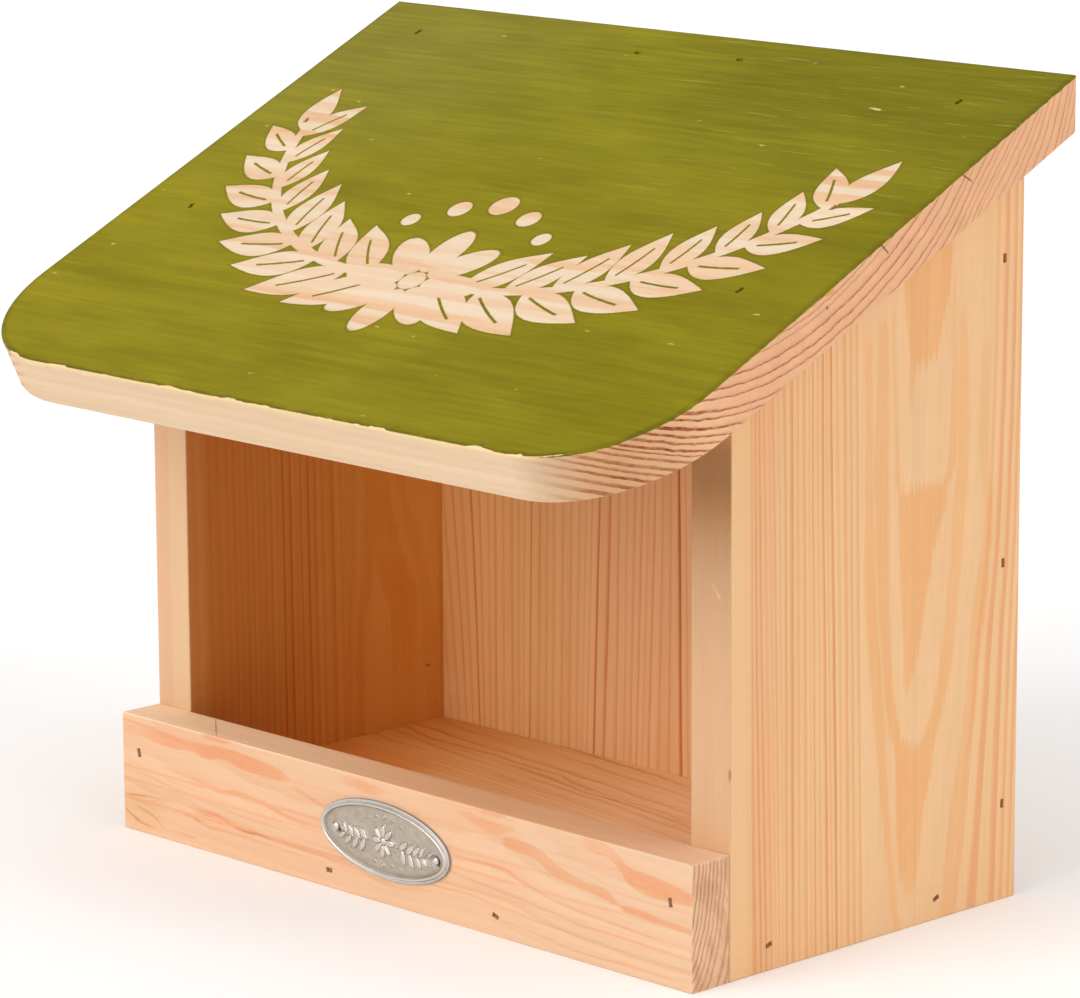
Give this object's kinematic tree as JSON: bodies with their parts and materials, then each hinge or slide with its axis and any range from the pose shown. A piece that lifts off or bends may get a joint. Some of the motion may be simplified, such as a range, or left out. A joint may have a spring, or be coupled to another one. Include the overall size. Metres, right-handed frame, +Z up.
{
  "type": "wall-mounted bird table",
  "caption": "Wall-mounted wooden bird feeding table with an open front, a low front rail, a sloping stained roof board and a keyhole hanger at the back.",
  "frame": {"origin": "on the wall plane at the axis of the wall screw, where it seats at the top of the hanger's keyhole", "axes": "+X to the right seen from the front, +Y into the wall, +Z up"},
  "size_m": [0.282, 0.1858, 0.2447],
  "materials": {
    "bare_pine": "planed, unfinished softwood with orange latewood bands",
    "stained_pine": "olive-green semi-transparent stain on the top face, bare edges and underside",
    "cast_zinc": "dull cast zinc with a polished rim",
    "bright_steel": "plain round-head tacks",
    "brad_steel": "dark, slightly sunk brad heads",
    "zinc_plated_steel": "zinc plated, semi-bright"
  },
  "bodies": {
    "root": {"left_side_panel": "bare_pine", "right_side_panel": "bare_pine", "back_panel": "bare_pine", "floor_panel": "bare_pine", "front_rail": "bare_pine", "roof_board": "stained_pine", "oval_plate": "cast_zinc", "plate_tacks": "bright_steel", "roof_brads": "brad_steel", "right_side_brads": "brad_steel", "left_side_brads": "brad_steel", "rail_brads": "brad_steel", "hanger_plate": "zinc_plated_steel", "hanger_screws": "zinc_plated_steel"}
  },
  "joints": []
}
